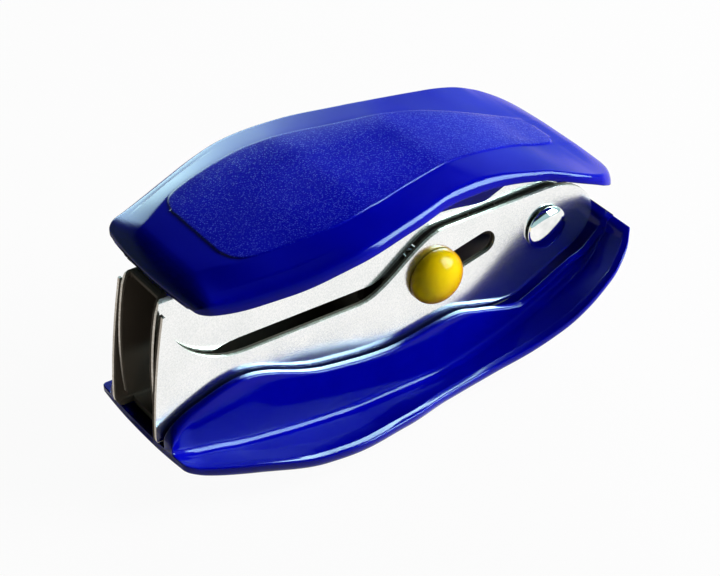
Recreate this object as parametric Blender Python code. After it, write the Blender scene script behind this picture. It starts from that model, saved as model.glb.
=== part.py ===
"""Pocket staple remover: two stamped steel jaws on one rivet, each gripped by a moulded cover.

A torsion spring on the rivet pushes the jaws apart, and a sliding pin with a domed button on
each end hooks them shut. Metres, +Z up: the claws point along -X, the rivet runs along Y, and
the tool lies on the flat land of its lower cover at Z = 0.
"""
import math

import bmesh
import bpy
import numpy as np
from mathutils import Vector

# Whole tool: X and heights below start from a zero at the rivet's level
RIVET_X = 0.0233
ZERO_X = -0.00025               # puts the middle of the tool's box on X = 0
ZERO_LEVEL = 0.0162             # height of the rivet above the surface that the tool lies on
GAP = 0.0003                    # left between pieces that touch
ROUND_SEGMENTS = 28             # round every turned piece
CURVE_STEPS = 12                # along each long curve of an outline
CORNER_STEPS = 4                # along each small round corner
DOME_STEPS = 7                  # from the edge of a dome to its middle
SMOOTH_DEGREES = 35.0           # edges sharper than this stay sharp

# Jaws: U channels folded from sheet, the upper one inside the lower one
SHEET = 0.0008
BLANK_HALF = 0.0400             # half length of the folded blank before it is trimmed
LOWER_JAW_HALF = 0.0050
UPPER_JAW_HALF = 0.0039
WEB_LEVEL = 0.0098              # outer face of each channel's web
BEND_RADIUS = 0.0014            # outside of the fold between web and plate
WEB_FRONT = -0.0305
WEB_REAR = 0.0148
SHOULDER_LEVEL = 0.0054         # straight edge of both plates beside the rivet
LOBE_RADIUS = 0.0054            # round end of each plate, about the rivet
LOWER_LOBE_REACH = 0.0074       # the lower plates' round end is drawn out to the rear
LOBE_LEAVES = 60.0              # degrees round the lobe where the straight heel leaves it
HEEL_X = 0.0166                 # where the heel meets the web

# Lower plate: claw, low straight, step up to the rear shoulder
LOWER_TIP = (-0.0311, 0.0078)
LOWER_FOOT_X = -0.0328
FOOT_RADIUS = 0.0015
CLAW_POWER = 1.7                        # how the front edge curves from foot to tip
LOWER_GULLET = (-0.0202, 0.0085)        # centre of the quarter ellipse behind the claw
LOWER_GULLET_AXES = (0.0106, 0.0095)
LOWER_GULLET_FROM = 184.0               # degrees round the ellipse where the claw ends
LOWER_STEP = (-0.0045, 0.0080)          # from and to, along X

# Upper plate: the same features facing down
UPPER_TIP_LEVEL = -0.0072
UPPER_BROW = (-0.03105, 0.0090)         # front edge under the cover
BROW_LEAVES = 150.0                     # degrees round the brow where the front edge leaves it
UPPER_BULGE_X = -0.03215                # furthest forward point of the front edge
UPPER_BULGE_LEVEL = -0.0015
UPPER_GULLET = (-0.0206, -0.0077)
UPPER_GULLET_AXES = (0.0106, 0.0081)
UPPER_GULLET_FROM = 176.5
UPPER_STEP = (-0.0026, 0.0070)
UPPER_CHEEK_X = 0.0160                  # where the upper plate drops to its lobe
UPPER_LOBE_FROM = 165.0

# Rivet and spring
RIVET_RADIUS = 0.0015
RIVET_HOLE = RIVET_RADIUS + GAP
RIVET_HEAD_RADIUS = 0.0029
RIVET_HEAD_RISE = 0.0011
SPRING_WIRE = 0.0008
SPRING_RADIUS = 0.00235
SPRING_HALF_LENGTH = 0.0016
SPRING_FULL_TURNS = 2
SPRING_POINTS_PER_TURN = 10
SPRING_LEG_POINTS = (0.06, 0.35, 0.65)  # along the straight leg from foot to coil
SPRING_FOOT = (0.0100, 0.0135)          # stretch of each leg that lies on its web, along X

# Lock: the pin runs in a slot of the lower plates and hooks a tongue of the upper web
PIN_RADIUS = 0.0013
PIN_REST = (0.00635, -0.0007)
SLOT_SLOPE = math.radians(13.5)
LOCK_FORWARD = 0.0018                   # travel from rest to the locked end
LOCK_BACK = 0.0077                      # travel from rest to the released end
SLOT_RADIUS = PIN_RADIUS + GAP
TONGUE_HALF = 0.0006
TONGUE_FRONT_X = -0.0010
TONGUE_ARM = 0.0028
HOOK_END_X = 0.0045
HOOK_TOP = -0.0030
HOOK_DEPTH = 0.0014
BUTTON_RADIUS = 0.00365
BUTTON_BACK = LOWER_JAW_HALF + GAP
BUTTON_RIM = 0.0006
BUTTON_DOME = 0.0018
BUTTON_SOCKET = 0.0011
SOCKET_RADIUS = PIN_RADIUS + GAP

# Covers: stations are (X, value), heights counted away from the rivet's level
UPPER_COVER = {
    "ends": (-0.0295, 0.0291),
    "front_bow": 0.0007,                # the front edge bows forward in the middle
    "front_lip": 0.00055,               # height of the rim's side at the front, where the slope starts
    "wall_start": 0.0,                  # 0 lets the inner walls grow from nothing at the front
    "half_width": ((-0.0295, 0.0093), (-0.0291, 0.0101), (-0.0283, 0.0108), (-0.0270, 0.01135),
                   (-0.0234, 0.0126), (-0.0154, 0.0146), (-0.0110, 0.0150), (-0.0034, 0.0140),
                   (0.0040, 0.0122), (0.0106, 0.0116), (0.0166, 0.0120), (0.0230, 0.0130),
                   (0.0250, 0.0129), (0.0270, 0.0121), (0.0282, 0.0110), (0.0288, 0.0099),
                   (0.0291, 0.0086)),
    "rim": ((-0.0295, 0.0104), (-0.0270, 0.0103), (-0.0200, 0.0112), (-0.0114, 0.0130),
            (-0.0034, 0.0139), (0.0023, 0.0141), (0.0086, 0.0137), (0.0166, 0.0124),
            (0.0210, 0.0110), (0.0246, 0.0095), (0.0291, 0.0069)),
    "wall": ((-0.0295, 0.0104), (-0.0275, 0.0092), (-0.0240, 0.0083), (0.0000, 0.0083),
             (0.0080, 0.0079), (0.0133, 0.0072), (0.0154, 0.0079), (0.0175, 0.0086),
             (0.0291, 0.0082)),
}
LOWER_COVER = {
    "ends": (-0.0319, 0.0333),
    "front_bow": 0.0003,
    "front_lip": 0.0012,
    "wall_start": 1.0,                  # 1 starts them at full size
    "half_width": ((-0.0319, 0.0095), (-0.0234, 0.0126), (-0.0154, 0.0146), (-0.0110, 0.0150),
                   (-0.0034, 0.0140), (0.0040, 0.0122), (0.0106, 0.0116), (0.0166, 0.0120),
                   (0.0250, 0.0131), (0.0280, 0.0129), (0.0310, 0.0117), (0.0333, 0.0096)),
    "rim": ((-0.0319, 0.0097), (-0.0295, 0.0105), (-0.0234, 0.0113), (-0.0154, 0.0123),
            (-0.0070, 0.01235), (0.0040, 0.01285), (0.0086, 0.0127), (0.0126, 0.01215),
            (0.0166, 0.0113), (0.0210, 0.0094), (0.0250, 0.0068), (0.0295, 0.0036),
            (0.0333, 0.0013)),
    "wall": ((-0.0319, 0.0073), (-0.0282, 0.0054), (-0.0216, 0.0037), (-0.0100, 0.0072),
             (-0.0010, 0.0082), (0.0094, 0.0070), (0.0130, 0.0079), (0.0200, 0.0095),
             (0.0333, 0.0030)),
}
RIM_LIP = ((-0.0319, 0.00105), (-0.0280, 0.0014), (-0.0240, 0.0015), (-0.0080, 0.00145),
           (0.0080, 0.00155), (0.0120, 0.00143), (0.0160, 0.0013), (0.0240, 0.00132),
           (0.0291, 0.00185), (0.0333, 0.0014))
CROWN_LEVEL = ((-0.0319, 0.0113), (-0.0265, 0.0131), (-0.0234, 0.0139), (-0.0180, 0.0148),
               (-0.0140, 0.01535), (-0.0100, 0.01575), (-0.0060, 0.01605), (0.0050, 0.01605),
               (0.0100, 0.01545), (0.0140, 0.01447), (0.0180, 0.01322), (0.0220, 0.01172),
               (0.0256, 0.01042), (0.0291, 0.0090), (0.0333, 0.0040))
TOP_HALF_WIDTH = ((-0.0319, 0.0040), (-0.0265, 0.0058), (-0.0234, 0.0075), (-0.0212, 0.0085),
                  (-0.0180, 0.0093), (-0.0140, 0.00995), (-0.0110, 0.0102), (-0.0060, 0.0096),
                  (0.0000, 0.0082), (0.0060, 0.00695), (0.0120, 0.0060), (0.0180, 0.0049),
                  (0.0256, 0.0039), (0.0333, 0.0033))
SKIN = ((-0.0319, 0.0007), (-0.0240, 0.0015), (0.0240, 0.0016), (0.0333, 0.0012))
SECTIONS_X = (-0.0190, -0.0164, -0.0138, -0.0112, -0.0086, -0.0060, -0.0030, 0.0010, 0.0050,
              0.0080, 0.0105, 0.0130, 0.0155, 0.0180, 0.0205, 0.0226, 0.0238, 0.0250)
END_SECTIONS = 7                        # beyond the grip field, at each end
END_CROWDING = 1.5                      # how much closer those sections stand at the very end
LAND_HALF = 0.0030                      # flat middle of the dome
EDGE_FALL = 0.03                        # fall of the back from the land to the top's edge, per width
SHOULDER_POWER = 1.15                   # 1 would make the shoulder straight from there to the rim
RIM_ROUND = 0.0020                      # width of the rim's rounding
RIM_SIDE = 0.00025                      # upright side left below it
RIM_EDGE = 0.0011                       # thickness of the rim
RIM_STEP = 0.00035                      # floor below the rim's edge
LEAST_SKIN = 0.00045
LEAST_STEP = 0.00002
FRONT_SLOPE = 1.05                      # climb of the front face from the rim
FRONT_BLEND = 0.0009                    # over which it turns into the back
FRONT_SKIN = 0.00065
FRONT_FALL = 0.0001                     # lower at its sides than in its middle
BOW_FADES = 0.0080
WALL_SHEET = 0.0011                     # inner walls that grip the jaw's plates
WALL_ROUND = 0.0003
WALL_FILLET = 0.0007
LEAST_WALL = 0.00025
WALL_FADES = 0.0060                     # length over which the walls run out into the floor
WALL_LEFT = 0.02                        # share of the wall's least size left at the very end
RIBS_X = (-0.0200, -0.0040, 0.0120)     # cross ribs that carry the web
RIB_SHEET = 0.0010

# Grip field: a raised, grained panel on each cover's back
FIELD_RISE = 0.00015
FIELD_EDGE = 0.0003
FIELD_HALF_WIDTH = ((-0.0234, 0.0052), (-0.0230, 0.0066), (-0.0223, 0.0076), (-0.0212, 0.0082),
                    (-0.0180, 0.00905), (-0.0140, 0.0097), (-0.0110, 0.00995), (-0.0060, 0.00935),
                    (0.0000, 0.00795), (0.0060, 0.0067), (0.0120, 0.00575), (0.0180, 0.0046),
                    (0.0230, 0.0039), (0.0244, 0.0035), (0.0253, 0.0027), (0.0257, 0.0016))

BLUE = (0.003, 0.004, 0.30)
NICKEL = (0.78, 0.77, 0.74)
SPRING_STEEL = (0.42, 0.41, 0.40)
YELLOW = (0.72, 0.50, 0.012)


def through(stations):
    """Smooth curve through the stations that never overshoots them."""
    xs, ys = np.array(stations).T
    spans = np.diff(xs)
    rises = np.diff(ys) / spans
    product = rises[:-1] * rises[1:]
    total = np.where(product > 0, rises[:-1] + rises[1:], 1.0)
    inner = np.where(product > 0, 2 * product / total, 0.0)
    slopes = np.concatenate([rises[:1], inner, rises[-1:]])

    def curve(x):
        i = int(np.clip(np.searchsorted(xs, x) - 1, 0, len(spans) - 1))
        t = (x - xs[i]) / spans[i]
        value = ys[i] * (1 - t) ** 2 * (1 + 2 * t) + ys[i + 1] * t * t * (3 - 2 * t)
        return value + spans[i] * t * (1 - t) * (slopes[i] * (1 - t) - slopes[i + 1] * t)

    return curve


ZERO = Vector((ZERO_X, 0.0, ZERO_LEVEL))
rim_lip = through(RIM_LIP)
crown_level = through(CROWN_LEVEL)
top_half_width = through(TOP_HALF_WIDTH)
skin_of = through(SKIN)
field_half_width = through(FIELD_HALF_WIDTH)


def clear_scene():
    for obj in list(bpy.data.objects):
        bpy.data.objects.remove(obj, do_unlink=True)


def finish(name, colour, roughness, metallic):
    material = bpy.data.materials.new(name)
    material.use_nodes = True
    shader = material.node_tree.nodes["Principled BSDF"]
    shader.inputs["Base Color"].default_value = (*colour, 1.0)
    shader.inputs["Roughness"].default_value = roughness
    shader.inputs["Metallic"].default_value = metallic
    return material


def object_from(name, bm, material=None):
    """New object standing at the drawing's zero, shaded smooth up to an angle."""
    bmesh.ops.recalc_face_normals(bm, faces=bm.faces)
    mesh = bpy.data.meshes.new(name)
    bm.to_mesh(mesh)
    bm.free()
    mesh.shade_smooth()
    mesh.set_sharp_from_angle(angle=math.radians(SMOOTH_DEGREES))
    if material:
        mesh.materials.append(material)
    obj = bpy.data.objects.new(name, mesh)
    bpy.context.collection.objects.link(obj)
    obj.location = ZERO
    return obj


def joint_empty(name, x, level):
    empty = bpy.data.objects.new(name, None)
    empty.location = ZERO + Vector((x, 0.0, level))
    bpy.context.collection.objects.link(empty)
    return empty


def hang(obj, empty):
    """Parent the object to the empty on its joint's axis without moving it."""
    obj.parent = empty
    obj.location = obj.location - empty.location


def prism(outline, y_from, y_to):
    """Outline of (x, z) points extruded along Y."""
    bm = bmesh.new()
    face = bm.faces.new([bm.verts.new((x, y_from, z)) for x, z in outline])
    swept = bmesh.ops.extrude_face_region(bm, geom=[face])
    moved = [item for item in swept["geom"] if isinstance(item, bmesh.types.BMVert)]
    bmesh.ops.translate(bm, verts=moved, vec=(0.0, y_to - y_from, 0.0))
    return bm


def box(x_range, y_range, z_range):
    (x0, x1), (z0, z1) = x_range, z_range
    return prism([(x0, z0), (x1, z0), (x1, z1), (x0, z1)], *y_range)


def turned(profile, segments):
    """Profile of (radius, y) points, pole to pole, spun about the Y axis."""
    bm = bmesh.new()
    verts = [bm.verts.new((radius, y, 0.0)) for radius, y in profile]
    edges = [bm.edges.new(pair) for pair in zip(verts, verts[1:])]
    bmesh.ops.spin(bm, geom=verts + edges, cent=(0, 0, 0), axis=(0, 1, 0),
                   angle=2 * math.pi, steps=segments, use_merge=True)
    bmesh.ops.remove_doubles(bm, verts=bm.verts, dist=1e-6)
    return bm


def shift(bm, x, z):
    bmesh.ops.translate(bm, verts=bm.verts, vec=(x, 0.0, z))
    return bm


def combine(obj, helper_name, bm, operation):
    """Boolean the shape into the object; the helper stays as a hidden wire object."""
    helper = object_from(helper_name, bm)
    helper.hide_render = True
    helper.display_type = "WIRE"
    modifier = obj.modifiers.new(helper_name, "BOOLEAN")
    modifier.operation = operation
    modifier.object = helper
    modifier.solver = "EXACT"
    return helper


def arc(centre, radii, start, end, steps):
    """Points on an ellipse from one angle to another, in degrees."""
    angles = np.radians(np.linspace(start, end, steps + 1))
    return [(centre[0] + radii[0] * math.cos(a), centre[1] + radii[1] * math.sin(a)) for a in angles]


def round_arc(centre, radius, start, end, steps):
    return arc(centre, (radius, radius), start, end, steps)


def step_curve(x_range, levels, steps):
    """S-shaped step between two levels, level at both ends."""
    points = []
    for t in np.linspace(0.0, 1.0, steps + 1):
        rise = t * t * (3 - 2 * t)
        points.append((x_range[0] + (x_range[1] - x_range[0]) * t,
                       levels[0] + (levels[1] - levels[0]) * rise))
    return points


def lower_plate_outline():
    """Side view of the lower jaw, clockwise from the top of its gullet."""
    low = LOWER_GULLET[1] - LOWER_GULLET_AXES[1]
    gullet = arc(LOWER_GULLET, LOWER_GULLET_AXES, LOWER_GULLET_FROM, 270.0, CURVE_STEPS)
    step = step_curve(LOWER_STEP, (low, SHOULDER_LEVEL), CURVE_STEPS)
    lobe = arc((RIVET_X, 0.0), (LOWER_LOBE_REACH, LOBE_RADIUS), 90.0, -LOBE_LEAVES, CURVE_STEPS)
    foot_centre = (LOWER_FOOT_X + FOOT_RADIUS, -WEB_LEVEL + FOOT_RADIUS)
    foot = round_arc(foot_centre, FOOT_RADIUS, 270.0, 180.0, CORNER_STEPS)
    claw = []
    for t in np.linspace(0.0, 1.0, CURVE_STEPS + 1)[1:]:
        x = foot[-1][0] + (LOWER_TIP[0] - foot[-1][0]) * t ** CLAW_POWER
        claw.append((x, foot[-1][1] + (LOWER_TIP[1] - foot[-1][1]) * t))
    return gullet + step + lobe + [(HEEL_X, -WEB_LEVEL)] + foot + claw


def upper_front_edge(steps):
    """Front edge of the upper claw: a shallow parabola from brow to tip."""
    depth = (UPPER_BROW[0] - UPPER_BULGE_X) / (UPPER_BROW[1] - UPPER_BULGE_LEVEL) ** 2
    levels = np.linspace(UPPER_TIP_LEVEL, UPPER_BROW[1], steps + 1)
    return [(UPPER_BULGE_X + depth * (z - UPPER_BULGE_LEVEL) ** 2, z) for z in levels]


def upper_plate_outline():
    """Side view of the upper jaw, anticlockwise from the foot of its gullet."""
    low = UPPER_GULLET[1] + UPPER_GULLET_AXES[1]
    gullet = arc(UPPER_GULLET, UPPER_GULLET_AXES, UPPER_GULLET_FROM, 90.0, CURVE_STEPS)
    step = step_curve(UPPER_STEP, (low, SHOULDER_LEVEL), CURVE_STEPS)
    lobe = round_arc((RIVET_X, 0.0), LOBE_RADIUS, UPPER_LOBE_FROM, 360.0 + LOBE_LEAVES, CURVE_STEPS)
    cheek = [(UPPER_CHEEK_X, SHOULDER_LEVEL)]
    heel = [(HEEL_X, WEB_LEVEL)]
    brow_centre = (UPPER_BROW[0] + FOOT_RADIUS, WEB_LEVEL - FOOT_RADIUS)
    brow = round_arc(brow_centre, FOOT_RADIUS, 90.0, BROW_LEAVES, CORNER_STEPS)
    front = upper_front_edge(CURVE_STEPS)
    return gullet + step + cheek + lobe + heel + brow + front[-2::-1]


def channel(half, web_sign, x_range):
    """Sheet folded into a U: two plates and a web at web_sign times the web's level."""
    inner_bend = BEND_RADIUS - SHEET
    corner = (half - BEND_RADIUS, WEB_LEVEL - BEND_RADIUS)
    outer = round_arc(corner, BEND_RADIUS, 0.0, 90.0, CORNER_STEPS)
    inner = round_arc(corner, inner_bend, 90.0, 0.0, CORNER_STEPS)
    reach = -WEB_LEVEL
    side = [(half - SHEET, reach), (half, reach)] + outer
    loop = side + [(-y, z) for y, z in reversed(side)]
    loop += [(-y, z) for y, z in reversed(inner)] + inner
    bm = bmesh.new()
    face = bm.faces.new([bm.verts.new((x_range[0], y, web_sign * z)) for y, z in loop])
    swept = bmesh.ops.extrude_face_region(bm, geom=[face])
    moved = [item for item in swept["geom"] if isinstance(item, bmesh.types.BMVert)]
    bmesh.ops.translate(bm, verts=moved, vec=(x_range[1] - x_range[0], 0.0, 0.0))
    return bm


def jaw(name, half, web_sign, outline, material):
    """Folded channel trimmed to its side view, with the web cut short at both ends."""
    front, rear = -BLANK_HALF, BLANK_HALF
    across = (-half - SHEET, half + SHEET)
    between = (-half + SHEET, half - SHEET)
    web = sorted((web_sign * (WEB_LEVEL - SHEET - GAP), web_sign * (WEB_LEVEL + SHEET)))
    obj = object_from(name, channel(half, web_sign, (front, rear)), material)
    combine(obj, name + "_outline", prism(outline, *across), "INTERSECT")
    combine(obj, name + "_front_cut", box((front, WEB_FRONT), between, web), "DIFFERENCE")
    combine(obj, name + "_rear_cut", box((WEB_REAR, rear), between, web), "DIFFERENCE")
    near, far = across
    profile = [(0.0, near), (RIVET_HOLE, near), (RIVET_HOLE, far), (0.0, far)]
    hole = shift(turned(profile, ROUND_SEGMENTS), RIVET_X, 0.0)
    combine(obj, name + "_rivet_hole", hole, "DIFFERENCE")
    return obj


def slot_point(travel):
    """Centre of the lock pin after a travel along its slot."""
    return (PIN_REST[0] + travel * math.cos(SLOT_SLOPE), PIN_REST[1] + travel * math.sin(SLOT_SLOPE))


def slot_outline():
    turn = math.degrees(SLOT_SLOPE)
    rear = round_arc(slot_point(LOCK_BACK), SLOT_RADIUS, turn + 90.0, turn - 90.0, CURVE_STEPS)
    front = round_arc(slot_point(-LOCK_FORWARD), SLOT_RADIUS, turn - 90.0, turn - 270.0, CURVE_STEPS)
    return rear + front


def tongue_outline():
    """Hook bent down from the upper web: an arm before the pin and a lip under it."""
    arm_x = TONGUE_FRONT_X + TONGUE_ARM
    hook_bottom = HOOK_TOP - HOOK_DEPTH
    top = WEB_LEVEL - SHEET / 2
    return [(TONGUE_FRONT_X, top), (TONGUE_FRONT_X, hook_bottom), (HOOK_END_X, hook_bottom),
            (HOOK_END_X, HOOK_TOP), (arm_x, HOOK_TOP), (arm_x, top)]


def lower_jaw(material):
    obj = jaw("lower_jaw", LOWER_JAW_HALF, -1, lower_plate_outline(), material)
    reach = LOWER_JAW_HALF + SHEET
    combine(obj, "lock_slot", prism(slot_outline(), -reach, reach), "DIFFERENCE")
    return obj


def upper_jaw(material):
    obj = jaw("upper_jaw", UPPER_JAW_HALF, 1, upper_plate_outline(), material)
    combine(obj, "hook_tongue", prism(tongue_outline(), -TONGUE_HALF, TONGUE_HALF), "UNION")
    return obj


def lesser(first, second, blend):
    """Smaller of two heights, joined by a parabola where they come close."""
    t = min(1.0, max(0.0, 0.5 + (second - first) / (2 * blend)))
    return second * (1 - t) + first * t - blend * t * (1 - t)


def cover_half_section(x, width, edge, climb, wall_in, wall_edge, fade):
    """Half of the cover's cross section at x, as (y, height) points.

    It runs from the middle of the inside, down and round the inner wall, along the floor,
    round the rim, and back over the shoulder and the top to the middle of the outside.
    Near the front nothing is higher than the climb of the front face.
    """
    lip = rim_lip(x)
    crown = crown_level(x)
    top = top_half_width(x)
    fall = EDGE_FALL * (top - LAND_HALF)
    nudge = 1e-5
    slope = (crown_level(x + nudge) - crown_level(x - nudge)) / (2 * nudge)
    steep = math.hypot(1.0, slope)
    skin_middle = skin_of(x) * steep
    skin_rim = max(lip - RIM_STEP, LEAST_SKIN)

    def share(y):
        return max(0.0, (y - LAND_HALF) / (width - LAND_HALF))

    def back(y):
        out = min(1.0, max(0.0, (y - LAND_HALF) / (top - LAND_HALF)))
        down = max(0.0, (y - top) / (width - top))
        return crown - fall * out ** 2 - (crown - fall - edge - lip) * down ** SHOULDER_POWER

    def face(y):
        return climb - FRONT_FALL * (y / width) ** 2

    def outside(y):
        return lesser(back(y), face(y), FRONT_BLEND)

    def inside(y):
        skin = skin_middle + (skin_rim - skin_middle) * share(y)
        return lesser(back(y) - skin, face(y) - FRONT_SKIN, FRONT_BLEND)

    wall_out = wall_in + WALL_SHEET
    fillet = WALL_FILLET * fade
    floor_from = wall_out + fillet
    wall_foot = inside(floor_from) - fillet
    wall_top = min(wall_edge, wall_foot - (LEAST_WALL + WALL_ROUND) * fade)
    turn = min(WALL_ROUND, (wall_foot - wall_top) / 2)
    rim_in = width - RIM_EDGE
    points = [
        (0.0, inside(0.0)),
        (wall_in, inside(wall_in)),
        (wall_in, wall_top + turn),
        (wall_in + WALL_ROUND, wall_top),
        (wall_out - WALL_ROUND, wall_top),
        (wall_out, wall_top + turn),
        (wall_out, wall_foot),
        (floor_from, inside(floor_from)),
    ]
    floor_to = rim_in - RIM_STEP
    middle = (floor_from + floor_to) / 2
    points += [(middle, inside(middle)), (floor_to, inside(floor_to))]
    step = max(LEAST_STEP, (inside(floor_to) - edge) / 2)
    points += [(rim_in, edge + step), (rim_in, edge), (width, edge)]
    side = outside(width) - edge
    drop = side - min(RIM_SIDE, side / 2)
    shoulder = width - RIM_ROUND
    for turn in np.linspace(math.pi / 2, 0.0, CORNER_STEPS + 1):
        y = shoulder + RIM_ROUND * math.sin(turn)
        points.append((y, outside(y) - drop * (1 - math.cos(turn))))
    field_x = min(max(x, FIELD_HALF_WIDTH[0][0]), FIELD_HALF_WIDTH[-1][0])
    rise = FIELD_RISE if abs(x - field_x) < FIELD_EDGE / 2 else 0.0
    field = field_half_width(field_x)
    for y in np.linspace(shoulder, field + FIELD_EDGE, 5)[1:]:
        points.append((y, outside(y)))
    field_points = [field, (field + LAND_HALF) / 2, LAND_HALF]
    if field <= LAND_HALF:
        field_points = [field, field * 2 / 3, field / 3]
    points += [(y, outside(y) + rise) for y in field_points]
    points.append((0.0, outside(0.0) + rise))
    return points


def cover_stations(ends):
    """X positions of the cross sections, close together where the grip field begins and ends."""
    field_front, field_rear = FIELD_HALF_WIDTH[0][0], FIELD_HALF_WIDTH[-1][0]
    shares = np.linspace(0.0, 1.0, END_SECTIONS) ** END_CROWDING
    stations = list(ends[0] + (field_front - FIELD_EDGE - ends[0]) * shares)
    stations += [field_front, field_front + 2 * FIELD_EDGE, field_front + 5 * FIELD_EDGE]
    stations += list(SECTIONS_X) + [field_rear]
    stations += list(ends[1] + (field_rear + FIELD_EDGE - ends[1]) * shares[::-1])
    return stations


def cover(name, sign, shape, wall_in, material):
    """Cover lofted through its cross sections; sign is 1 for the upper cover, -1 for the lower."""
    front, rear = shape["ends"]
    half_width = through(shape["half_width"])
    rim = through(shape["rim"])
    wall = through(shape["wall"])

    def half_section(x):
        from_ends = min(shape["wall_start"] + (x - front) / WALL_FADES, (rear - x) / WALL_FADES)
        fade = min(1.0, max(WALL_LEFT, from_ends))
        edge = rim(x)
        climb = edge + shape["front_lip"] + FRONT_SLOPE * (x - front)
        return cover_half_section(x, half_width(x), edge, climb, wall_in, wall(x), fade)

    bm = bmesh.new()
    loops = []
    for x in cover_stations(shape["ends"]):
        half = half_section(x)
        full = half + [(-y, h) for y, h in reversed(half[1:-1])]
        bow = shape["front_bow"] * max(0.0, 1 - (x - front) / BOW_FADES)
        width = half_width(x)
        loops.append([bm.verts.new((x - bow * (1 - (y / width) ** 2), y, sign * h)) for y, h in full])
    count = len(loops[0])
    for near, far in zip(loops, loops[1:]):
        for i in range(count):
            j = (i + 1) % count
            bm.faces.new((near[i], near[j], far[j], far[i]))
    bm.faces.new(loops[0])
    bm.faces.new(loops[-1])
    obj = object_from(name, bm, material)
    for number, x in enumerate(RIBS_X, 1):
        ceiling = half_section(x)[0][1]
        levels = sorted((sign * (WEB_LEVEL + GAP), sign * (ceiling + GAP)))
        y_range = (-wall_in - GAP, wall_in + GAP)
        rib = box((x - RIB_SHEET / 2, x + RIB_SHEET / 2), y_range, levels)
        combine(obj, f"{name}_rib_{number}", rib, "UNION")
    return obj


def dome(radius, base, rise):
    """Profile of a domed end along Y, from its edge to its pole."""
    angles = np.linspace(0, math.pi / 2, DOME_STEPS + 1)[:-1]
    return [(radius * math.cos(a), base + rise * math.sin(a)) for a in angles] + [(0.0, base + rise)]


def pivot_rivet(material):
    back = LOWER_JAW_HALF + GAP
    edge = RIVET_HEAD_RISE / 4
    half = [(RIVET_RADIUS, back), (RIVET_HEAD_RADIUS, back)]
    half += dome(RIVET_HEAD_RADIUS, back + edge, RIVET_HEAD_RISE - edge)
    profile = [(radius, -y) for radius, y in reversed(half)] + half
    return object_from("pivot_rivet", shift(turned(profile, ROUND_SEGMENTS), RIVET_X, 0.0), material)


def spring_path():
    """Wire from the foot on the lower web, round the rivet, to the foot on the upper web."""
    web_inside = WEB_LEVEL - SHEET
    foot_level = web_inside - GAP - SPRING_WIRE / 2
    bend = np.array([SPRING_FOOT[1] - RIVET_X, -foot_level])
    away = np.linalg.norm(bend)
    touch = math.atan2(bend[1], bend[0]) + math.acos(SPRING_RADIUS / away)
    sweep = 2 * math.pi * SPRING_FULL_TURNS - 2 * touch
    steps = round(sweep / (2 * math.pi) * SPRING_POINTS_PER_TURN)
    turns = np.linspace(0.0, 1.0, steps + 1)
    angles = touch + sweep * turns
    coil = np.column_stack([
        RIVET_X + SPRING_RADIUS * np.cos(angles),
        SPRING_HALF_LENGTH * (2 * turns - 1),
        SPRING_RADIUS * np.sin(angles),
    ])
    side = -SPRING_HALF_LENGTH
    foot = [(SPRING_FOOT[0], side, -foot_level), (SPRING_FOOT[1] - SPRING_WIRE, side, -foot_level)]
    run = np.array([SPRING_FOOT[1], side, -foot_level])
    leg = [tuple(run + (coil[0] - run) * t) for t in SPRING_LEG_POINTS]
    lower = foot + leg
    upper = [(x, -y, -z) for x, y, z in reversed(lower)]
    return np.array(lower + [tuple(point) for point in coil] + upper)


def least_gap(path, diameter, skip):
    """Smallest clear distance between points of the wire that are not close along it."""
    steps = np.linspace(0, 1, 6)[:-1, None]
    fine = np.concatenate([a + (b - a) * steps for a, b in zip(path, path[1:])])
    along = np.concatenate([[0.0], np.cumsum(np.linalg.norm(np.diff(fine, axis=0), axis=1))])
    apart = np.linalg.norm(fine[:, None] - fine[None], axis=2)
    far = np.abs(along[:, None] - along[None]) > skip
    return apart[far].min() - diameter


def torsion_spring(material):
    path = spring_path()
    gap = least_gap(path, SPRING_WIRE, math.pi * SPRING_RADIUS)
    print(f"torsion_spring: least gap to itself {gap * 1000:.2f} mm")
    curve = bpy.data.curves.new("torsion_spring", "CURVE")
    curve.dimensions = "3D"
    curve.bevel_depth = SPRING_WIRE / 2
    curve.bevel_resolution = 1
    curve.use_fill_caps = True
    spline = curve.splines.new("POLY")
    spline.points.add(len(path) - 1)
    for point, place in zip(spline.points, path):
        point.co = (*place, 1.0)
    curve.materials.append(material)
    obj = bpy.data.objects.new("torsion_spring", curve)
    bpy.context.collection.objects.link(obj)
    obj.location = ZERO
    return obj


def lock_pin(material):
    end = BUTTON_BACK + BUTTON_SOCKET - GAP
    bevel = PIN_RADIUS / 4
    half = [(PIN_RADIUS, end - bevel), (PIN_RADIUS - bevel, end), (0.0, end)]
    profile = [(radius, -y) for radius, y in reversed(half)] + half
    return object_from("lock_pin", shift(turned(profile, ROUND_SEGMENTS), *PIN_REST), material)


def lock_button(name, side, material):
    """Domed cap with a blind socket for the end of the pin; side is -1 or 1 along Y."""
    floor = BUTTON_BACK + BUTTON_SOCKET
    profile = [(0.0, floor), (SOCKET_RADIUS, floor), (SOCKET_RADIUS, BUTTON_BACK)]
    profile += [(BUTTON_RADIUS, BUTTON_BACK)] + dome(BUTTON_RADIUS, BUTTON_BACK + BUTTON_RIM, BUTTON_DOME)
    bm = turned([(radius, side * y) for radius, y in profile], ROUND_SEGMENTS)
    return object_from(name, shift(bm, *PIN_REST), material)


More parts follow.
